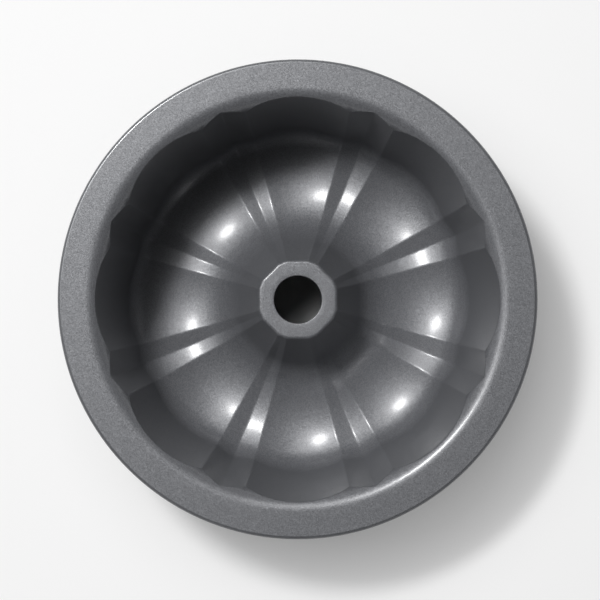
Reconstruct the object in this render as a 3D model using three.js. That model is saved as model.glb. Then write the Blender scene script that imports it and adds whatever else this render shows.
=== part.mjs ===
// Fluted tube pan: a ring cake mould drawn from one steel sheet, its edge rolled around a wire, with a
// non-stick lining on the food side. Millimetres, +Z up, origin on the table at the middle of the base.
import * as THREE from "three";

// Rim and sheet
const RIM_DIAMETER = 250; // over the rolled edge
const HEIGHT = 86; // table to the lining on the flange
const SHEET = 0.7; // drawn steel
const LINING = 0.15; // release coat on the food side
const FLANGE_WIDTH = 14.6; // flat of the rim, from the wall's fillet to the outer edge
const RIM_FILLET = 9.3; // flange into wall
const CREASE_ROUND = 1.6; // where a flute's top cuts into that fillet
const WIRE_DIAMETER = 1.6;
const WIRE_CLEARANCE = 0.25; // between the wire and the sheet rolled around it
const CURL_SWEEP = 290; // degrees that the edge is rolled through

// Channel: its floor is one broad arc between the wall's corner and the tube's flare
const RING_SETBACK = 60.1; // from the outer edge in to the channel's lowest ring
const FLOOR_CROWN = 52.5; // radius of the floor's arc
const FLOOR_OUTER_HALF = 19.2; // lowest ring out to the wall's corner
const FLOOR_INNER_HALF = 13.5; // lowest ring in to the tube's flare
const WALL_CORNER = 13; // floor into wall
const TUBE_FLARE = 25; // floor into tube

// Tube
const TUBE_DROP = 31; // rim down to the tube's flat top
const TUBE_TOP_DIAMETER = 44.5; // over the rounded edge
const TUBE_EDGE = 1.9; // rounding between the tube's top and its side
const HOLE_DIAMETER = 25.5;

// Flutes: broad lobes with a V groove between each pair, their depths growing with the radius
const FLUTES = 8;
const GROOVE_ANGLE = 14; // degrees of each groove
const LOBE_DEPTH = 3.25; // where the wall meets the rim's fillet
const GROOVE_DEPTH = 2.95; // at the same place
const TUBE_LOBE_DEPTH = 0.8; // at the tube's top
const TUBE_GROOVE_DEPTH = 0.2; // at the same place
const FOOT_LENGTH = 5; // flat under each lobe that the pan stands on, along a radius

// Facets
const LOBE_STEPS = 5; // odd, so that a flat lies under the middle of each lobe
const EDGE_STEPS = 3;
const FLARE_STEPS = 4;
const CORNER_STEPS = 4;
const CREASE_STEPS = 2;
const FILLET_STEPS = 3;
const CURL_STEPS = 8;
const WIRE_SIDES = 10;

const { abs, sin, cos, asin, acos, atan, atan2, hypot, max, min, PI } = Math;
const radians = (degrees) => (degrees * PI) / 180;

// A point of a section is [radius, height].
const onCircle = ([radius, height], size, angle) => [
  radius + size * sin(angle),
  height + size * cos(angle),
];

// Angles from first to last in equal steps, both ends included.
const sweep = (first, last, steps) =>
  Array.from(
    { length: steps + 1 },
    (_, i) => first + ((last - first) * i) / steps,
  );

// Slope of the straight line that runs off an upper round, passes between the two and joins a lower one.
function slopeBetween([upperR, upperZ], upperSize, [lowerR, lowerZ], lowerSize) {
  const across = abs(lowerR - upperR);
  const down = upperZ - lowerZ;
  const turn = asin((upperSize + lowerSize) / hypot(across, down));
  return atan2(down, across) + turn;
}

const rimRadius = RIM_DIAMETER / 2;
const curlOuter = WIRE_DIAMETER / 2 + WIRE_CLEARANCE + SHEET;
const curlInner = curlOuter - SHEET;
const curlCentre = [rimRadius - curlOuter, HEIGHT - LINING - curlOuter];
const flangeInner = rimRadius - FLANGE_WIDTH;
const ringRadius = rimRadius - RING_SETBACK;
const tubeTop = HEIGHT - TUBE_DROP;
const tubeRadius = TUBE_TOP_DIAMETER / 2;
const outsideDepth = LINING + SHEET;

// Slopes of the floor's arc at its two ends
const innerSlope = asin(FLOOR_INNER_HALF / FLOOR_CROWN);
const outerSlope = asin(FLOOR_OUTER_HALF / FLOOR_CROWN);

// Depths of the flutes for each millimetre of radius
const lobeRate = LOBE_DEPTH / flangeInner;
const grooveRate = GROOVE_DEPTH / flangeInner;

// The pan stands on flats that are pressed level under the lobes, either side of their lowest ring.
const footMiddle = atan(lobeRate);
const footHalf = asin(FOOT_LENGTH / 2 / FLOOR_CROWN);
const footSlopes = [footMiddle - footHalf, footMiddle + footHalf];
const footLobeShare = 1 - 1 / LOBE_STEPS ** 2;
const footDrop = (slope) =>
  cos(slope) *
    (lobeRate * footLobeShare * (ringRadius + FLOOR_CROWN * sin(slope)) +
      outsideDepth) -
  FLOOR_CROWN * (1 - cos(slope));
const floorHeight = min(...footSlopes.map(footDrop));

// Centres of the rounds that make up the section along a ridge, and the slopes of the lines between them
const filletCentre = [flangeInner, HEIGHT - RIM_FILLET];
const floorCentre = [ringRadius, floorHeight + FLOOR_CROWN];
const flareCentre = onCircle(
  floorCentre,
  TUBE_FLARE - FLOOR_CROWN,
  innerSlope,
);
const cornerCentre = onCircle(
  floorCentre,
  WALL_CORNER - FLOOR_CROWN,
  -outerSlope,
);
const edgeCentre = [tubeRadius - TUBE_EDGE, tubeTop - TUBE_EDGE];
const tubeSlope = slopeBetween(edgeCentre, TUBE_EDGE, flareCentre, TUBE_FLARE);
const wallSlope = slopeBetween(
  filletCentre,
  RIM_FILLET,
  cornerCentre,
  WALL_CORNER,
);

// Columns of the loft: the angle of each, and its share of a lobe's or a groove's full depth.
function fluteColumns() {
  const pitch = 360 / FLUTES;
  const lobe = pitch - GROOVE_ANGLE;
  const columns = [];
  for (let flute = 0; flute < FLUTES; flute++) {
    for (let step = 0; step <= LOBE_STEPS; step++) {
      const across = (2 * step) / LOBE_STEPS - 1; // -1 and 1 are the ridges
      columns.push({
        angle: radians(flute * pitch + (across * lobe) / 2),
        lobe: 1 - across ** 2,
        groove: 0,
      });
    }
    columns.push({
      angle: radians((flute + 0.5) * pitch),
      lobe: 0,
      groove: 1,
    });
  }
  return columns;
}

// Section of the surface that lies a given depth under the food side, from the hole to the rolled edge.
// The flutes push it away from the channel, along the ridge section's own normal.
function sheetLine(column, depth) {
  const rate = lobeRate * column.lobe + grooveRate * column.groove;
  const tubeDepth =
    TUBE_LOBE_DEPTH * column.lobe + TUBE_GROOVE_DEPTH * column.groove;
  const pushed = (centre, size, slope) => {
    const [radius] = onCircle(centre, -size, slope);
    return onCircle(centre, -size - depth - rate * radius, slope);
  };

  // The tube's top stays flat, so its rounded edge only moves in towards the hole.
  const edge = [edgeCentre[0] - tubeDepth / sin(tubeSlope), edgeCentre[1]];
  // The rim's fillet isn't fluted: each wall line runs up until it meets the fillet, in an arched crease
  // that is slightly rounded.
  const creaseReach = RIM_FILLET - CREASE_ROUND;
  const crease = wallSlope - acos(1 - (rate * flangeInner) / creaseReach);
  const creaseCentre = onCircle(filletCentre, creaseReach, -crease);

  return [
    [HOLE_DIAMETER / 2, tubeTop - depth],
    ...sweep(0, tubeSlope, EDGE_STEPS).map((slope) =>
      onCircle(edge, TUBE_EDGE - depth, slope),
    ),
    ...sweep(tubeSlope, innerSlope, FLARE_STEPS).map((slope) =>
      pushed(flareCentre, TUBE_FLARE, slope),
    ),
    ...[innerSlope / 2, -footSlopes[0], -footSlopes[1], -outerSlope / 2].map(
      (slope) => pushed(floorCentre, FLOOR_CROWN, slope),
    ),
    ...sweep(-outerSlope, -wallSlope, CORNER_STEPS).map((slope) =>
      pushed(cornerCentre, WALL_CORNER, slope),
    ),
    ...sweep(-wallSlope, -crease, CREASE_STEPS).map((slope) =>
      onCircle(creaseCentre, CREASE_ROUND - depth, slope),
    ),
    ...sweep(-crease, 0, FILLET_STEPS)
      .slice(1)
      .map((slope) => onCircle(filletCentre, RIM_FILLET - depth, slope)),
    [curlCentre[0], HEIGHT - depth],
  ];
}

// Closed ring-shaped solid through one closed section per column, each section with as many points.
// Sections run anticlockwise, and each four-sided patch is split along its shorter diagonal.
function loft(columns, sectionAt) {
  const rings = columns.map((column) =>
    sectionAt(column).map(
      ([radius, height]) =>
        new THREE.Vector3(
          radius * cos(column.angle),
          radius * sin(column.angle),
          height,
        ),
    ),
  );
  const rows = rings[0].length;
  const indices = [];
  rings.forEach((ring, i) => {
    const j = (i + 1) % rings.length;
    const next = rings[j];
    for (let row = 0; row < rows; row++) {
      const up = (row + 1) % rows;
      const [a, b] = [i * rows + row, j * rows + row];
      const [c, d] = [j * rows + up, i * rows + up];
      const split =
        ring[row].distanceTo(next[up]) < next[row].distanceTo(ring[up]);
      indices.push(...(split ? [a, b, c, a, c, d] : [a, b, d, b, c, d]));
    }
  });
  return new THREE.BufferGeometry()
    .setFromPoints(rings.flat())
    .setIndex(indices);
}

// Drawn sheet: its outside, then round the wire by the curl's two faces, then its food side back in.
function shellSection(column) {
  const outside = sheetLine(column, outsideDepth).map(([radius, height]) => [
    radius,
    max(height, 0),
  ]);
  const around = sweep(0, radians(CURL_SWEEP), CURL_STEPS);
  const curlFace = (size) =>
    around.map((angle) => onCircle(curlCentre, size, angle)).slice(1);
  return [
    ...outside,
    ...curlFace(curlInner),
    ...curlFace(curlOuter).reverse(),
    ...sheetLine(column, LINING).reverse(),
  ];
}

// Release coat, face to face with the sheet all over the food side.
function liningSection(column) {
  return [
    ...sheetLine(column, LINING),
    ...sheetLine(column, 0).reverse(),
  ];
}

// Round wire in the middle of the curl.
function wireSection() {
  return sweep(0, -2 * PI, WIRE_SIDES)
    .slice(1)
    .map((angle) => onCircle(curlCentre, WIRE_DIAMETER / 2, angle));
}

const columns = fluteColumns();

function piece(name, sectionAt, colour, roughness, metalness) {
  const mesh = new THREE.Mesh(
    loft(columns, sectionAt),
    new THREE.MeshStandardMaterial({ color: colour, roughness, metalness }),
  );
  mesh.name = name;
  return mesh;
}

const pan = new THREE.Group();
pan.add(
  piece("pan_shell", shellSection, 0x4a4c4f, 0.5, 0.6),
  piece("rim_wire", wireSection, 0x8d9093, 0.4, 1),
  piece("nonstick_lining", liningSection, 0x5c5f63, 0.35, 0.5),
);

export default pan;
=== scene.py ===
"""Blender scene of a fluted tube pan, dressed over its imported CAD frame.

Section sizes are in millimetres and repeat those of the CAD part. Meshes are in metres, +Z up, with the
origin on the table at the middle of the base. The pan stands on white paper under one softbox and is seen
from straight above.
"""

import logging
from dataclasses import dataclass
from enum import Enum
from math import acos, asin, atan2, cos, hypot, pi, radians, sin, tan
from typing import Any, Callable

import bmesh
import bpy
from mathutils import Matrix, Vector

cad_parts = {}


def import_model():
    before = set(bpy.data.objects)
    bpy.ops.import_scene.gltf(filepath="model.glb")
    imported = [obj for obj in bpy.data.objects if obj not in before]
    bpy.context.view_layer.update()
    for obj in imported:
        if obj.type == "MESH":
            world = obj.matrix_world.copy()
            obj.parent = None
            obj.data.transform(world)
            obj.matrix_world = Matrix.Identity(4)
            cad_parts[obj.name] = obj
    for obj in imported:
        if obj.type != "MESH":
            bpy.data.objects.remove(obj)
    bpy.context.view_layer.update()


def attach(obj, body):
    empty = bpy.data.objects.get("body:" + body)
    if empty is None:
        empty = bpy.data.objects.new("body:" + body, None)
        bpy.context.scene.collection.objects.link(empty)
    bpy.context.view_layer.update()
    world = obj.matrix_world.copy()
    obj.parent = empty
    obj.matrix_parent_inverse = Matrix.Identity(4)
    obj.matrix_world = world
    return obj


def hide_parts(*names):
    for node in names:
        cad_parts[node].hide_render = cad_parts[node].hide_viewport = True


LOG = logging.getLogger("tube_pan")
MM = 0.001  # metres in a millimetre
WELD = 0.001 * MM  # metres within which vertices are joined
SHARP = radians(40)  # edges that fold by this or more aren't smoothed over

Point = tuple[float, float]  # radius and height of a section's point
Station = Callable[[float], Point]  # one point of a section, at any angle around the pan
Colour = tuple[float, float, float]


class Slot(Enum):
    """Material slots of the record."""

    OUTER_COAT = "outer_coat"
    WIRE = "wire"
    LINING = "lining"


class CadNode(Enum):
    """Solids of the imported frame."""

    SHELL = "pan_shell"
    WIRE = "rim_wire"
    LINING = "nonstick_lining"


def on_circle(centre: Point, size: float, angle: float) -> Point:
    """Finds a point of a circle in a section.

    Args:
        centre: Radius and height of the circle's centre.
        size: Radius of the circle, negative for the far side.
        angle: Radians from straight up, growing away from the axis.

    Returns:
        Radius and height of the point.
    """
    return centre[0] + size * sin(angle), centre[1] + size * cos(angle)


def slope_between(upper: Point, upper_size: float, lower: Point, lower_size: float) -> float:
    """Finds the slope of the line that crosses from an upper round to a lower one and touches both.

    Args:
        upper: Centre of the upper round.
        upper_size: Radius of the upper round.
        lower: Centre of the lower round.
        lower_size: Radius of the lower round.

    Returns:
        Slope in radians from level.
    """
    across = abs(lower[0] - upper[0])
    down = upper[1] - lower[1]
    return atan2(down, across) + asin((upper_size + lower_size) / hypot(across, down))


def steps_between(first: float, last: float, steps: int) -> list[float]:
    """Splits a range into equal steps.

    Args:
        first: Start of the range.
        last: End of the range.
        steps: Number of steps.

    Returns:
        The values from first to last, both included.
    """
    return [first + (last - first) * step / steps for step in range(steps + 1)]


@dataclass(frozen=True)
class PanSizes:
    """Sizes of the pan's section in millimetres, along a ridge between a lobe and a groove.

    Attributes:
        rim_radius: Radius over the rolled edge.
        height: Table up to the food side of the rim's flat.
        sheet: Thickness of the steel.
        lining: Thickness of the release coat.
        flange_width: Width of the rim's flat, the rolled edge included.
        rim_fillet: Round between the rim's flat and the wall.
        crease_round: Round where a flute's top cuts into that fillet.
        curl_outer: Radius of the rolled edge's section.
        curl_sweep: Degrees that the edge is rolled through.
        wire_radius: Radius of the section of the wire in it.
        ring_radius: Radius of the floor's lowest ring.
        floor_height: Table up to the food side of that ring.
        floor_crown: Radius of the floor's broad arc.
        floor_outer_half: Lowest ring out to the wall's corner.
        floor_inner_half: Lowest ring in to the tube's flare.
        wall_corner: Round between the floor and the wall.
        tube_flare: Round between the floor and the tube.
        tube_top: Table up to the tube's flat top.
        tube_radius: Radius of the tube's top, its rounded edge included.
        tube_edge: Round between the tube's top and its side.
        hole_radius: Radius of the hole in the tube's top.
        hole_roll: Round of the hole's edge.
        hole_turn: Degrees that the hole's edge is rolled over.
    """

    rim_radius: float = 125.0
    height: float = 86.0
    sheet: float = 0.7
    lining: float = 0.15
    flange_width: float = 14.6
    rim_fillet: float = 9.3
    crease_round: float = 1.6
    curl_outer: float = 1.75
    curl_sweep: float = 290.0
    wire_radius: float = 0.8
    ring_radius: float = 64.9
    floor_height: float = 2.634
    floor_crown: float = 52.5
    floor_outer_half: float = 19.2
    floor_inner_half: float = 13.5
    wall_corner: float = 13.0
    tube_flare: float = 25.0
    tube_top: float = 55.0
    tube_radius: float = 22.25
    tube_edge: float = 1.9
    hole_radius: float = 12.75
    hole_roll: float = 0.5
    hole_turn: float = 70.0

    @property
    def curl_centre(self) -> Point:
        """Middle of the rolled edge and of the wire in it."""
        return self.rim_radius - self.curl_outer, self.height - self.lining - self.curl_outer

    @property
    def flange_inner(self) -> float:
        """Radius at which the flat of the rim starts."""
        return self.rim_radius - self.flange_width

    @property
    def fillet_centre(self) -> Point:
        """Centre of the round between the rim's flat and the wall."""
        return self.flange_inner, self.height - self.rim_fillet

    @property
    def floor_centre(self) -> Point:
        """Centre of the floor's broad arc."""
        return self.ring_radius, self.floor_height + self.floor_crown

    @property
    def inner_slope(self) -> float:
        """Slope of the floor where the tube's flare starts."""
        return asin(self.floor_inner_half / self.floor_crown)

    @property
    def outer_slope(self) -> float:
        """Slope of the floor where the wall's corner starts."""
        return asin(self.floor_outer_half / self.floor_crown)

    @property
    def flare_centre(self) -> Point:
        """Centre of the round between the floor and the tube."""
        return on_circle(self.floor_centre, self.tube_flare - self.floor_crown, self.inner_slope)

    @property
    def corner_centre(self) -> Point:
        """Centre of the round between the floor and the wall."""
        return on_circle(self.floor_centre, self.wall_corner - self.floor_crown, -self.outer_slope)

    @property
    def edge_centre(self) -> Point:
        """Centre of the rounded edge of the tube's top."""
        return self.tube_radius - self.tube_edge, self.tube_top - self.tube_edge

    @property
    def tube_slope(self) -> float:
        """Slope of the tube's side."""
        return slope_between(self.edge_centre, self.tube_edge, self.flare_centre, self.tube_flare)

    @property
    def wall_slope(self) -> float:
        """Slope of the outer wall."""
        return slope_between(self.fillet_centre, self.rim_fillet, self.corner_centre, self.wall_corner)


@dataclass(frozen=True)
class Flutes:
    """Broad lobes with a V groove between each pair, their depths growing with the radius.

    Attributes:
        count: Lobes around the pan.
        groove_angle: Degrees that each groove takes.
        reach: Radius at which the wall meets the rim's fillet, in millimetres.
        lobe_depth: Depth of a lobe's middle there, in millimetres.
        groove_depth: Depth of a groove's bottom there.
        lobe_swell: Further depth of a lobe's middle at the axis, which fades to nothing at the reach.
        tube_lobe: Depth of a lobe's middle at the tube's top, in millimetres.
        tube_groove: Depth of a groove's bottom there.
        fold: Softness of the ridges and of the grooves' bottoms, in millimetres.
        fold_angle: Degrees on each side of a fold that get fine columns.
        fold_steps: Columns on each side of a fold.
        facet_steps: Columns on each flat side of a groove.
        lobe_steps: Columns on each half of a lobe.
    """

    count: int = 8
    groove_angle: float = 14.0
    reach: float = 110.4
    lobe_depth: float = 3.25
    groove_depth: float = 2.95
    lobe_swell: float = 0.32
    tube_lobe: float = 0.8
    tube_groove: float = 0.2
    fold: float = 0.45
    fold_angle: float = 1.2
    fold_steps: int = 4
    facet_steps: int = 3
    lobe_steps: int = 7

    @property
    def lobe_rate(self) -> float:
        """Depth of a lobe's middle for each millimetre of radius."""
        return self.lobe_depth / self.reach

    @property
    def groove_rate(self) -> float:
        """Depth of a groove's bottom for each millimetre of radius."""
        return self.groove_depth / self.reach

    def shares(self, angle: float, radius: float) -> tuple[float, float]:
        """Finds how far a place is into a lobe and into a groove.

        Args:
            angle: Radians around the pan from the middle of a lobe.
            radius: Distance from the axis, which sets how wide the soft folds are in angle.

        Returns:
            Share of a lobe's full depth, and share of a groove's.
        """
        pitch = 2 * pi / self.count
        groove = radians(self.groove_angle) / 2
        lobe = pitch / 2 - groove
        soft = self.fold / radius
        past_ridge = hypot(angle % pitch - pitch / 2, soft) - groove
        turn = hypot(past_ridge, soft)
        into_lobe = (turn + past_ridge) / 2 / lobe
        into_groove = (turn - past_ridge) / 2 / groove
        return into_lobe * (2 - into_lobe), into_groove

    def depth(self, angle: float, radius: float) -> float:
        """Finds how deep the flutes are at an angle and a radius of the floor or the wall."""
        lobe, groove = self.shares(angle, radius)
        swell = self.lobe_swell * max(1 - radius / self.reach, 0.0)
        return (self.lobe_rate * radius + swell) * lobe + self.groove_rate * radius * groove

    def tube_depth(self, angle: float, radius: float) -> float:
        """Finds how deep the flutes are at an angle and a radius of the tube's top."""
        lobe, groove = self.shares(angle, radius)
        return self.tube_lobe * lobe + self.tube_groove * groove

    def spans(self) -> list[tuple[float, int]]:
        """Lists the stretches of one flute, from the middle of a lobe to the middle of the next.

        Returns:
            Degrees of each stretch, and the columns that it is spun in.
        """
        pitch = 360 / self.count
        fold = (2 * self.fold_angle, 2 * self.fold_steps)
        facet = (self.groove_angle / 2 - 2 * self.fold_angle, self.facet_steps)
        lobe = ((pitch - self.groove_angle) / 2 - self.fold_angle, self.lobe_steps)
        return [lobe, fold, facet, fold, facet, fold, lobe]


@dataclass(frozen=True)
class SectionSteps:
    """Steps of the section's stretches, in their order from the hole to the rolled edge."""

    hole_edge: int = 4
    tube_top: int = 3
    tube_edge: int = 8
    tube: int = 9
    flare: int = 9
    floor: int = 20
    corner: int = 8
    wall: int = 11
    crease: int = 6
    fillet: int = 7
    flange: int = 4
    curl: int = 20


@dataclass(frozen=True)
class SheetLine:
    """Section of the surface that lies a given depth under the food side, from the hole to the rolled edge.

    Attributes:
        sizes: Sizes of the section along a ridge.
        flutes: Flutes that push it away from the channel.
        depth: Millimetres under the food side.
        steps: Steps of its stretches.
    """

    sizes: PanSizes
    flutes: Flutes
    depth: float
    steps: SectionSteps = SectionSteps()

    def pushed(self, centre: Point, size: float, slope: float) -> Station:
        """Makes a station of a round that the flutes push along its own normal.

        Args:
            centre: Centre of the round.
            size: Radius of the round.
            slope: Slope of the surface there.

        Returns:
            The station.
        """
        radius = on_circle(centre, -size, slope)[0]

        def station(angle: float) -> Point:
            """Gives the station's point at an angle around the pan."""
            return on_circle(centre, -size - self.depth - self.flutes.depth(angle, radius), slope)

        return station

    def arc(self, centre: Point, size: float, slopes: list[float]) -> list[Station]:
        """Makes the stations of a round that the flutes push, one at each of the slopes."""
        return [self.pushed(centre, size, slope) for slope in slopes]

    def tube_edge(self, slope: float) -> Station:
        """Makes a station of the tube's rounded top edge, which only moves in towards the hole.

        Args:
            slope: Slope of the surface there.

        Returns:
            The station.
        """
        sizes = self.sizes

        def station(angle: float) -> Point:
            """Gives the station's point at an angle around the pan."""
            inwards = self.flutes.tube_depth(angle, sizes.tube_radius) / sin(sizes.tube_slope)
            centre = sizes.edge_centre[0] - inwards, sizes.edge_centre[1]
            return on_circle(centre, sizes.tube_edge - self.depth, slope)

        return station

    def crease_slope(self, angle: float) -> float:
        """Finds the slope at which the wall's crease leaves the rim's fillet.

        Args:
            angle: Radians around the pan.

        Returns:
            Slope in radians, near the wall's own at a ridge and lower where a flute cuts into the fillet.
        """
        sizes = self.sizes
        cut = self.flutes.depth(angle, sizes.flange_inner)
        return sizes.wall_slope - acos(1 - cut / (sizes.rim_fillet - sizes.crease_round))

    def crease(self, share: float) -> Station:
        """Makes a station of the small round where a wall line meets the rim's fillet.

        Args:
            share: How far up the round the station is, from 0 to 1.

        Returns:
            The station.
        """
        sizes = self.sizes

        def station(angle: float) -> Point:
            """Gives the station's point at an angle around the pan."""
            top = self.crease_slope(angle)
            centre = on_circle(sizes.fillet_centre, sizes.rim_fillet - sizes.crease_round, -top)
            slope = sizes.wall_slope + (top - sizes.wall_slope) * share
            return on_circle(centre, sizes.crease_round - self.depth, -slope)

        return station

    def fillet(self, share: float) -> Station:
        """Makes a station of the rim's fillet above the crease.

        Args:
            share: How far up the fillet the station is, from 0 to 1.

        Returns:
            The station.
        """
        sizes = self.sizes

        def station(angle: float) -> Point:
            """Gives the station's point at an angle around the pan."""
            slope = self.crease_slope(angle) * (1 - share)
            return on_circle(sizes.fillet_centre, sizes.rim_fillet - self.depth, -slope)

        return station

    def hole_edge(self, slope: float) -> Station:
        """Makes a station of the edge that the punch rolled over around the hole.

        Args:
            slope: Slope of the surface there.

        Returns:
            The station.
        """
        sizes = self.sizes
        centre = sizes.hole_radius + sizes.hole_roll, sizes.tube_top - sizes.hole_roll
        return lambda angle: on_circle(centre, sizes.hole_roll - self.depth, -slope)

    def flat(self, radius: float) -> Station:
        """Makes a station of the rim's flat at a radius."""
        return lambda angle: (radius, self.sizes.height - self.depth)

    def curl(self) -> list[Station]:
        """Makes the stations of the rolled edge, past its start at the end of the rim's flat.

        Returns:
            The stations in order.
        """
        sizes = self.sizes

        def at(turn: float) -> Station:
            """Makes the station a number of radians past the curl's top."""
            return lambda angle: on_circle(sizes.curl_centre, sizes.curl_outer, turn)

        return [at(turn) for turn in steps_between(0, radians(sizes.curl_sweep), self.steps.curl)[1:]]

    def straight(self, first: Station, last: Station, steps: int) -> list[Station]:
        """Makes the stations of a straight line, without its two ends.

        Args:
            first: Station at the start of the line.
            last: Station at its end.
            steps: Number of equal steps.

        Returns:
            The stations between the two.
        """

        def between(share: float) -> Station:
            """Makes the station at a share of the line."""

            def station(angle: float) -> Point:
                """Gives the station's point at an angle around the pan."""
                (r1, z1), (r2, z2) = first(angle), last(angle)
                return r1 + (r2 - r1) * share, z1 + (z2 - z1) * share

            return station

        return [between(share) for share in steps_between(0, 1, steps)[1:-1]]

    def stations(self) -> list[Station]:
        """Lists the stations of the food side, from the hole to the end of the rim's flat.

        Returns:
            The stations in order.
        """
        sizes, steps = self.sizes, self.steps
        tube, inner = sizes.tube_slope, sizes.inner_slope
        outer, wall = sizes.outer_slope, sizes.wall_slope
        hole_slopes = steps_between(radians(sizes.hole_turn), 0, steps.hole_edge)
        edge_slopes = steps_between(0, tube, steps.tube_edge)
        flare_slopes = steps_between(tube, inner, steps.flare)
        floor_slopes = steps_between(inner, -outer, steps.floor)
        corner_slopes = steps_between(-outer, -wall, steps.corner)
        hole = [self.hole_edge(slope) for slope in hole_slopes]
        edge = [self.tube_edge(slope) for slope in edge_slopes]
        flare = self.arc(sizes.flare_centre, sizes.tube_flare, flare_slopes)
        floor = self.arc(sizes.floor_centre, sizes.floor_crown, floor_slopes)
        corner = self.arc(sizes.corner_centre, sizes.wall_corner, corner_slopes)
        crease = [self.crease(share) for share in steps_between(0, 1, steps.crease)]
        fillet = [self.fillet(share) for share in steps_between(0, 1, steps.fillet)]
        rim = self.flat(sizes.curl_centre[0])
        return [
            *hole,
            *self.straight(hole[-1], edge[0], steps.tube_top),
            *edge,
            *self.straight(edge[-1], flare[0], steps.tube),
            *flare,
            *floor[1:-1],
            *corner,
            *self.straight(corner[-1], crease[0], steps.wall),
            *crease,
            *fillet[1:],
            *self.straight(fillet[-1], rim, steps.flange),
            rim,
        ]


@dataclass(frozen=True)
class FlutedSheet:
    """Thin sheet that is spun from a section, then pressed into flutes.

    Attributes:
        stations: Section of the face that its normals point out of.
        flutes: Flutes that it is pressed into.
        thickness: Millimetres from that face to the other.
    """

    stations: list[Station]
    flutes: Flutes
    thickness: float

    def spun(self) -> bmesh.types.BMesh:
        """Spins the section around the axis, with fine columns at each fold.

        Returns:
            The open surface, each vertex with the number of its station in the layer named row.
        """
        mesh = bmesh.new()
        row = mesh.verts.layers.int.new("row")
        line = []
        for number, station in enumerate(self.stations):
            radius, height = station(0.0)
            vertex = mesh.verts.new((radius * MM, 0, height * MM))
            vertex[row] = number
            line.append(vertex)
        edge: list[Any] = [*line, *(mesh.edges.new(pair) for pair in zip(line, line[1:]))]
        for degrees, steps in self.flutes.spans() * self.flutes.count:
            turned = bmesh.ops.spin(
                mesh, geom=edge, cent=(0, 0, 0), axis=(0, 0, 1), angle=radians(degrees), steps=steps
            )
            edge = turned["geom_last"]
        bmesh.ops.remove_doubles(mesh, verts=mesh.verts, dist=WELD)
        return mesh

    def build(self) -> bmesh.types.BMesh:
        """Spins the sheet, presses its flutes and gives it its thickness.

        Returns:
            The closed sheet.
        """
        mesh = self.spun()
        row = mesh.verts.layers.int["row"]
        for vertex in mesh.verts:
            angle = atan2(vertex.co.y, vertex.co.x)
            radius, height = self.stations[vertex[row]](angle)
            vertex.co = Vector((radius * cos(angle), radius * sin(angle), height)) * MM
        bmesh.ops.recalc_face_normals(mesh, faces=mesh.faces)
        highest = max(mesh.faces, key=lambda face: face.calc_center_median().z)
        if highest.normal.z < 0:
            bmesh.ops.reverse_faces(mesh, faces=mesh.faces)
        bmesh.ops.solidify(mesh, geom=mesh.faces, thickness=self.thickness * MM)
        return mesh


def set_in_frame(
    mesh: bmesh.types.BMesh, name: str, node: CadNode, material: bpy.types.Material
) -> bpy.types.Object:
    """Makes an object of a finished mesh, in place of a CAD solid.

    Args:
        mesh: Finished mesh, which is freed.
        name: Name of the new piece.
        node: CAD solid that the piece stands for.
        material: Its material.

    Returns:
        The new object.
    """
    for face in mesh.faces:
        face.smooth = True
    for edge in mesh.edges:
        edge.smooth = edge.calc_face_angle(0) < SHARP
    data = bpy.data.meshes.new(name)
    mesh.to_mesh(data)
    mesh.free()
    data.materials.append(material)
    piece = bpy.data.objects.new(name, data)
    bpy.context.scene.collection.objects.link(piece)
    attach(piece, "root")
    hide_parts(node.value)
    LOG.info("%s: %d faces", name, len(data.polygons))
    return piece


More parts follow.
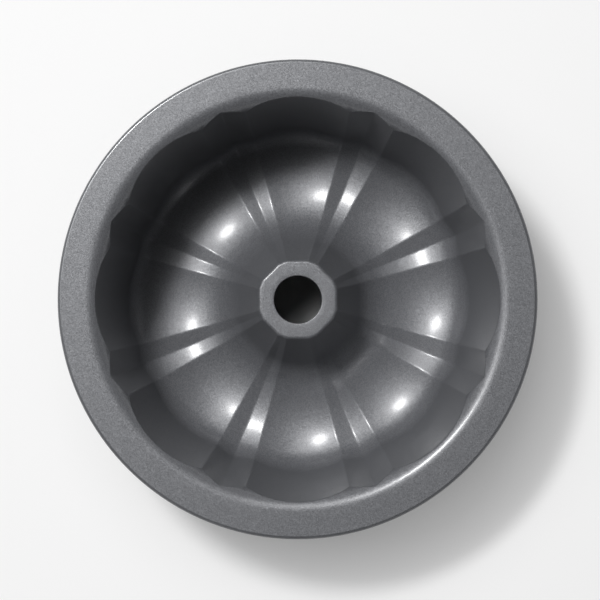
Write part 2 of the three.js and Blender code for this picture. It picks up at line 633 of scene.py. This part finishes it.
class ShaderGraph:
    """Node tree of a material or of the surroundings."""

    def __init__(self, tree: bpy.types.NodeTree) -> None:
        """Takes over a node tree.

        Args:
            tree: Tree that the nodes are added to.
        """
        self.tree = tree

    def feed(self, socket: bpy.types.NodeSocket, value: Any) -> None:
        """Sets an input, or links it where the value is another node's output.

        Args:
            socket: Input to feed.
            value: Number, vector, colour or output socket.
        """
        if isinstance(value, bpy.types.NodeSocket):
            self.tree.links.new(value, socket)
        elif socket.type == "RGBA":
            socket.default_value = (*value, 1)
        else:
            socket.default_value = value

    def add(self, kind: str, options: dict[str, Any] | None = None, **inputs: Any) -> bpy.types.Node:
        """Adds a node.

        Args:
            kind: Type of the node.
            options: Properties to set on it.
            **inputs: Its inputs by name, with an underscore for each space.

        Returns:
            The node.
        """
        node = self.tree.nodes.new(kind)
        for name, value in (options or {}).items():
            setattr(node, name, value)
        for name, value in inputs.items():
            self.feed(node.inputs[name.replace("_", " ")], value)
        return node

    def work_out(self, kind: str, options: dict[str, Any], *values: Any) -> bpy.types.NodeSocket:
        """Adds a node that has one result.

        Args:
            kind: Type of the node.
            options: Properties to set on it, which decide what inputs it shows.
            *values: Those inputs in order.

        Returns:
            The result.
        """
        node = self.add(kind, options)
        shown = [socket for socket in node.inputs if socket.enabled]
        for socket, value in zip(shown, values):
            self.feed(socket, value)
        return next(socket for socket in node.outputs if socket.enabled)

    def number(self, operation: str, *values: Any) -> bpy.types.NodeSocket:
        """Adds an operation of the Math node."""
        return self.work_out("ShaderNodeMath", {"operation": operation}, *values)

    def vector(self, operation: str, *values: Any) -> bpy.types.NodeSocket:
        """Adds an operation of the Vector Math node."""
        return self.work_out("ShaderNodeVectorMath", {"operation": operation}, *values)

    def blend(self, share: bpy.types.NodeSocket, first: Colour, last: Colour) -> bpy.types.NodeSocket:
        """Adds a blend of two colours, by the share of the last."""
        return self.work_out("ShaderNodeMix", {"data_type": "RGBA"}, share, first, last)

    def fade(
        self, value: bpy.types.NodeSocket, span: tuple[float, float], ends: tuple[float, float]
    ) -> bpy.types.NodeSocket:
        """Adds a soft step from one number to another.

        Args:
            value: What the step follows.
            span: Its values where the step starts and where it is over.
            ends: The two numbers.

        Returns:
            The result.
        """
        node = self.add(
            "ShaderNodeMapRange",
            {"interpolation_type": "SMOOTHSTEP"},
            Value=value,
            From_Min=span[0],
            From_Max=span[1],
            To_Min=ends[0],
            To_Max=ends[1],
        )
        return node.outputs["Result"]

    def seen(self) -> bpy.types.NodeSocket:
        """Adds a switch between what is looked at and what only lights the pan.

        Returns:
            1 for what the camera sees, mirrored or through glass too, and otherwise 0.
        """
        rays = self.add("ShaderNodeLightPath").outputs
        mirrored = self.number("MAXIMUM", rays["Is Camera Ray"], rays["Is Glossy Ray"])
        return self.number("MAXIMUM", mirrored, rays["Is Transmission Ray"])


class MaterialGraph(ShaderGraph):
    """Node tree of one material, around its principled shader."""

    def __init__(self, name: str) -> None:
        """Starts a material.

        Args:
            name: Name of the material.
        """
        self.material = bpy.data.materials.new(name)
        self.material.use_nodes = True
        super().__init__(self.material.node_tree)
        self.shader = self.tree.nodes["Principled BSDF"]

    def dress(self, **inputs: Any) -> bpy.types.Material:
        """Feeds the principled shader.

        Args:
            **inputs: Its inputs by name, with an underscore for each space.

        Returns:
            The material.
        """
        for name, value in inputs.items():
            self.feed(self.shader.inputs[name.replace("_", " ")], value)
        return self.material


@dataclass(frozen=True)
class FlakedReleaseCoat:
    """Dark grey release coat with fine metal flakes under a thin clear film.

    Attributes:
        dark: Colour of the darkest specks.
        light: Colour of the brightest flakes.
        metallic: Share of the light that the flakes give back as metal.
        specular: Strength of the binder's own shine.
        roughness: Spread of the flakes' shine.
        film: Strength of the clear film.
        film_roughness: Spread of the film's shine.
        flake_size: Width of a flake in millimetres.
        flake_tilt: How far the flakes lean away from the surface.
    """

    dark: Colour = (0.09, 0.0925, 0.1)
    light: Colour = (0.145, 0.149, 0.161)
    metallic: float = 0.25
    specular: float = 0.8
    roughness: float = 0.485
    film: float = 0.42
    film_roughness: float = 0.2
    flake_size: float = 0.38
    flake_tilt: float = 0.07

    def material(self) -> bpy.types.Material:
        """Makes the material.

        Returns:
            The material.
        """
        graph = MaterialGraph("flaked_release_coat")
        place = graph.add("ShaderNodeTexCoord").outputs["Object"]
        flakes = graph.add("ShaderNodeTexVoronoi", Vector=place, Scale=1 / (self.flake_size * MM))
        middle = (0.5, 0.5, 0.5)
        lean = graph.vector("SUBTRACT", flakes.outputs["Color"], middle)
        lean = graph.vector("SCALE", lean, 2 * self.flake_tilt)
        face = graph.add("ShaderNodeNewGeometry").outputs["Normal"]
        shade = graph.add("ShaderNodeSeparateColor", Color=flakes.outputs["Color"])
        return graph.dress(
            Base_Color=graph.blend(shade.outputs["Blue"], self.dark, self.light),
            Metallic=self.metallic,
            Specular_IOR_Level=self.specular,
            Roughness=self.roughness,
            Normal=graph.vector("NORMALIZE", graph.vector("ADD", face, lean)),
            Coat_Weight=self.film,
            Coat_Roughness=self.film_roughness,
        )


@dataclass(frozen=True)
class BakedOuterCoat:
    """Satin dark grey coat baked on the outside, with a fine pebbled skin.

    Attributes:
        dark: Darker colour of its faint cloudiness.
        light: Lighter colour.
        metallic: Share of metal in the pigment.
        roughness: Spread of its shine.
        film: Strength of the clear film on it.
        film_roughness: Spread of the film's shine.
        cloud_scale: Clouds along a metre.
        cloud_detail: Number of finer layers in the clouds.
        pebble_size: Width of the skin's pebbles in millimetres.
        pebble_height: Height of the pebbles in millimetres.
        pebble_detail: Number of finer layers in the pebbles.
    """

    dark: Colour = (0.1, 0.103, 0.11)
    light: Colour = (0.135, 0.139, 0.149)
    metallic: float = 0.3
    roughness: float = 0.42
    film: float = 0.6
    film_roughness: float = 0.18
    cloud_scale: float = 60.0
    cloud_detail: float = 4.0
    pebble_size: float = 0.8
    pebble_height: float = 0.01
    pebble_detail: float = 2.0

    def material(self) -> bpy.types.Material:
        """Makes the material.

        Returns:
            The material.
        """
        graph = MaterialGraph("baked_outer_coat")
        place = graph.add("ShaderNodeTexCoord").outputs["Object"]
        clouds = graph.add(
            "ShaderNodeTexNoise", Vector=place, Scale=self.cloud_scale, Detail=self.cloud_detail
        )
        pebbles = graph.add(
            "ShaderNodeTexNoise",
            Vector=place,
            Scale=1 / (self.pebble_size * MM),
            Detail=self.pebble_detail,
        )
        skin = graph.add(
            "ShaderNodeBump", Strength=1.0, Distance=self.pebble_height * MM, Height=pebbles.outputs["Fac"]
        )
        return graph.dress(
            Base_Color=graph.blend(clouds.outputs["Fac"], self.dark, self.light),
            Metallic=self.metallic,
            Roughness=self.roughness,
            Normal=skin.outputs["Normal"],
            Coat_Weight=self.film,
            Coat_Roughness=self.film_roughness,
        )


@dataclass(frozen=True)
class DrawnWire:
    """Bare drawn steel with fine marks across its surface.

    Attributes:
        dark: Colour of the marks.
        light: Colour of the steel.
        roughness: Spread of its shine.
        mark_size: Width of a mark in millimetres.
        mark_detail: Number of finer layers in the marks.
    """

    dark: Colour = (0.42, 0.43, 0.44)
    light: Colour = (0.6, 0.61, 0.62)
    roughness: float = 0.34
    mark_size: float = 0.15
    mark_detail: float = 3.0

    def material(self) -> bpy.types.Material:
        """Makes the material.

        Returns:
            The material.
        """
        graph = MaterialGraph("drawn_wire")
        place = graph.add("ShaderNodeTexCoord").outputs["Object"]
        marks = graph.add(
            "ShaderNodeTexNoise", Vector=place, Scale=1 / (self.mark_size * MM), Detail=self.mark_detail
        )
        return graph.dress(
            Base_Color=graph.blend(marks.outputs["Fac"], self.dark, self.light),
            Metallic=1.0,
            Roughness=self.roughness,
        )


@dataclass(frozen=True)
class PanShell:
    """Drawn steel sheet of the pan, with its edge rolled around the wire.

    Attributes:
        sizes: Sizes of its section.
        flutes: Flutes that it is pressed into.
        coat: Finish of its outside.
    """

    sizes: PanSizes
    flutes: Flutes
    coat: BakedOuterCoat

    def build(self) -> bmesh.types.BMesh:
        """Builds the sheet, with the feet of its lobes pressed level.

        Returns:
            The finished mesh.
        """
        line = SheetLine(self.sizes, self.flutes, self.sizes.lining)
        stations = [*line.stations(), *line.curl()]
        mesh = FlutedSheet(stations, self.flutes, self.sizes.sheet).build()
        for vertex in mesh.verts:
            vertex.co.z = max(vertex.co.z, 0)
        return mesh

    def dress(self) -> bpy.types.Object:
        """Builds the shell and gives it its coat."""
        return set_in_frame(self.build(), "shell", CadNode.SHELL, self.coat.material())


@dataclass(frozen=True)
class NonstickLining:
    """Release coat all over the food side.

    Attributes:
        sizes: Sizes of its section.
        flutes: Flutes that it follows.
        coat: Its finish.
    """

    sizes: PanSizes
    flutes: Flutes
    coat: FlakedReleaseCoat

    def build(self) -> bmesh.types.BMesh:
        """Builds the film."""
        stations = SheetLine(self.sizes, self.flutes, 0).stations()
        return FlutedSheet(stations, self.flutes, self.sizes.lining).build()

    def dress(self) -> bpy.types.Object:
        """Builds the film and gives it its finish."""
        return set_in_frame(self.build(), "lining", CadNode.LINING, self.coat.material())


@dataclass(frozen=True)
class RimWire:
    """Round wire in the middle of the rolled edge.

    Attributes:
        sizes: Sizes that place it.
        steel: Its finish.
        sides: Sides of its round section.
        columns: Steps around the pan.
    """

    sizes: PanSizes
    steel: DrawnWire
    sides: int = 20
    columns: int = 240

    def build(self) -> bmesh.types.BMesh:
        """Spins a small circle around the pan's axis.

        Returns:
            The finished mesh.
        """
        mesh = bmesh.new()
        radius, height = self.sizes.curl_centre
        place = Matrix.Translation(Vector((radius, 0, height)) * MM) @ Matrix.Rotation(pi / 2, 4, "X")
        circle = bmesh.ops.create_circle(
            mesh, segments=self.sides, radius=self.sizes.wire_radius * MM, matrix=place
        )
        bmesh.ops.spin(
            mesh,
            geom=[*circle["verts"], *mesh.edges],
            cent=(0, 0, 0),
            axis=(0, 0, 1),
            angle=2 * pi,
            steps=self.columns,
            use_merge=True,
        )
        bmesh.ops.remove_doubles(mesh, verts=mesh.verts, dist=WELD)
        bmesh.ops.recalc_face_normals(mesh, faces=mesh.faces)
        return mesh

    def dress(self) -> bpy.types.Object:
        """Builds the wire and gives it its finish."""
        return set_in_frame(self.build(), "wire", CadNode.WIRE, self.steel.material())


@dataclass(frozen=True)
class Panel:
    """Elliptical light that faces the pan.

    Attributes:
        azimuth: Degrees around the pan, from +X.
        zenith: Degrees from straight up.
        across: Degrees that it takes from side to side.
        up: Degrees that it takes up and down.
        share: Its share of all the light.
    """

    azimuth: float
    zenith: float
    across: float
    up: float
    share: float

    @property
    def direction(self) -> Vector:
        """Direction from the pan to the panel."""
        azimuth, zenith = radians(self.azimuth), radians(self.zenith)
        return Vector((sin(zenith) * cos(azimuth), sin(zenith) * sin(azimuth), cos(zenith)))


@dataclass(frozen=True)
class Studio:
    """White paper, a softbox, dim surroundings with a pale horizon, and a camera straight above.

    Attributes:
        sizes: Sizes of the pan that the camera is aimed at.
        paper_size: Width of the paper in metres.
        paper_colour: Colour of the paper.
        paper_glow: Share of plain white in what is seen of the paper.
        painted_shade_inner: Metres from the pan's axis within which that share is nothing, which paints
            shade on the paper under and near the pan.
        painted_shade_outer: Metres from the axis from which the share is whole; between the two the painted
            shade fades out.
        light_distance: Metres to the panels.
        light_level: White that a sheet facing all the panels would reach by them.
        panels: Panels of the softbox, from its bright middle out to its whole front.
        overhead: Light of the surroundings overhead.
        around: Light of the surroundings near the horizon.
        overhead_span: Sines of the elevations between which one turns into the other.
        horizon: White that is seen at the horizon, beyond the light that comes from there.
        horizon_span: Sines of the elevations between which that white fades to nothing.
        sensor_width: Width of the camera's sensor in millimetres.
        camera_height: Metres from the rim up to the camera.
        camera_offset: Metres that the camera stands off the pan's axis.
        rim_pixels: Radius of the rim in the picture, in pixels.
        picture_width: Width of the picture in pixels.
        shift: Offset of the picture from the axis, in picture widths.
    """

    sizes: PanSizes
    paper_size: float = 12.0
    paper_colour: Colour = (0.84, 0.84, 0.84)
    paper_glow: float = 0.44
    # Painted shade: the paper's plain white fades out between these two distances from the pan's axis.
    painted_shade_inner: float = 0.07
    painted_shade_outer: float = 0.175
    light_distance: float = 2.5
    light_level: float = 1.135
    panels: tuple[Panel, ...] = (
        Panel(azimuth=132.0, zenith=27.0, across=9.5, up=5.2, share=0.42),
        Panel(azimuth=132.0, zenith=26.2, across=14.5, up=8.6, share=0.19),
        Panel(azimuth=132.0, zenith=25.5, across=18.0, up=12.0, share=0.1),
        Panel(azimuth=128.0, zenith=26.5, across=52.0, up=26.0, share=0.29),
    )
    overhead: float = 0.035
    around: float = 0.0
    overhead_span: tuple[float, float] = (0.05, 0.6)
    horizon: float = 1.0
    horizon_span: tuple[float, float] = (0.1, 0.45)
    sensor_width: float = 36.0
    camera_height: float = 1.08
    camera_offset: tuple[float, float] = (0.0089, -0.0083)
    rim_pixels: float = 240.5
    picture_width: int = 600
    shift: tuple[float, float] = (0.0043, -0.0014)

    def lay_paper(self) -> None:
        """Lays the white paper that the pan stands on."""
        mesh = bmesh.new()
        bmesh.ops.create_grid(mesh, x_segments=1, y_segments=1, size=self.paper_size / 2)
        data = bpy.data.meshes.new("paper")
        mesh.to_mesh(data)
        mesh.free()
        paper = bpy.data.objects.new("paper", data)
        bpy.context.scene.collection.objects.link(paper)
        data.materials.append(self.paper_material())
        LOG.info("paper: %.1f m wide", self.paper_size)

    def paper_material(self) -> bpy.types.Material:
        """Makes matt white paper that looks whiter than the light that it throws on the pan, with painted
        shade under and near the pan.

        Returns:
            The material.
        """
        graph = MaterialGraph("white_paper")
        graph.dress(Base_Color=self.paper_colour, Roughness=1.0, Specular_IOR_Level=0.0)
        place = graph.add("ShaderNodeTexCoord").outputs["Object"]
        away = graph.vector("LENGTH", place)
        # Painted shade on the paper: the share of plain white fades to nothing towards the pan's axis,
        # darkening the paper under the pan, in the hole and in the cast shadow by the rim.
        white_past_painted_shade = graph.fade(away, (self.painted_shade_inner, self.painted_shade_outer), (0.0, self.paper_glow))
        share = graph.number("MULTIPLY", graph.seen(), white_past_painted_shade)
        white = graph.add("ShaderNodeEmission", Color=(1, 1, 1), Strength=1.0).outputs["Emission"]
        mixed = graph.work_out("ShaderNodeMixShader", {}, share, graph.shader.outputs["BSDF"], white)
        surface = graph.tree.nodes["Material Output"].inputs["Surface"]
        graph.feed(surface, mixed)
        return graph.material

    def hang_lights(self) -> None:
        """Hangs the panels of the softbox up and to the left of the pan."""
        for panel in self.panels:
            lamp = bpy.data.lights.new("panel", "AREA")
            lamp.shape = "ELLIPSE"
            lamp.size = 2 * self.light_distance * tan(radians(panel.across / 2))
            lamp.size_y = 2 * self.light_distance * tan(radians(panel.up / 2))
            lamp.energy = panel.share * self.light_level * (pi * self.light_distance) ** 2
            hung = bpy.data.objects.new("panel", lamp)
            hung.location = panel.direction * self.light_distance
            hung.rotation_euler = panel.direction.to_track_quat("Z", "Y").to_euler()
            bpy.context.scene.collection.objects.link(hung)
            LOG.info("panel: %.2f by %.2f m, %.0f W", lamp.size, lamp.size_y, lamp.energy)

    def dim_surroundings(self) -> None:
        """Sets surroundings that light the pan dimly from overhead and are seen pale at the horizon."""
        world = bpy.data.worlds.new("surroundings")
        bpy.context.scene.world = world
        world.use_nodes = True
        graph = ShaderGraph(world.node_tree)
        direction = graph.add("ShaderNodeTexCoord").outputs["Generated"]
        rise = graph.add("ShaderNodeSeparateXYZ", Vector=direction).outputs["Z"]
        light = graph.fade(rise, self.overhead_span, (self.around, self.overhead))
        pale = graph.fade(rise, self.horizon_span, (self.horizon, 0.0))
        background = graph.tree.nodes["Background"]
        graph.feed(background.inputs["Color"], (1, 1, 1))
        strength = graph.number("MULTIPLY_ADD", graph.seen(), pale, light)
        graph.feed(background.inputs["Strength"], strength)
        LOG.info("surroundings: %.2f around, %.2f overhead", self.around, self.overhead)

    def set_camera(self) -> None:
        """Sets the camera over the pan, aimed at the middle of its rim."""
        data = bpy.data.cameras.new("camera")
        data.sensor_width = self.sensor_width
        seen_width = self.sizes.rim_radius / self.rim_pixels * MM * self.picture_width
        data.lens = data.sensor_width * self.camera_height / seen_width
        data.shift_x, data.shift_y = self.shift
        camera = bpy.data.objects.new("camera", data)
        camera.location = (*self.camera_offset, self.sizes.height * MM + self.camera_height)
        right, up = (atan2(offset, self.camera_height) for offset in self.camera_offset)
        camera.rotation_euler = (-up, right, 0)
        bpy.context.scene.collection.objects.link(camera)
        bpy.context.scene.camera = camera
        LOG.info("camera: %.1f mm lens", data.lens)

    def build(self) -> None:
        """Sets up the whole studio."""
        bpy.context.scene.view_settings.view_transform = "Standard"
        self.lay_paper()
        self.hang_lights()
        self.dim_surroundings()
        self.set_camera()


def main() -> None:
    """Loads the frame, dresses the pan and sets up the studio."""
    logging.basicConfig(level=logging.INFO, format="%(name)s: %(message)s")
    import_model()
    sizes = PanSizes()
    flutes = Flutes()
    PanShell(sizes, flutes, BakedOuterCoat()).dress()
    NonstickLining(sizes, flutes, FlakedReleaseCoat()).dress()
    RimWire(sizes, DrawnWire()).dress()
    Studio(sizes).build()


if __name__ == "__main__":
    main()
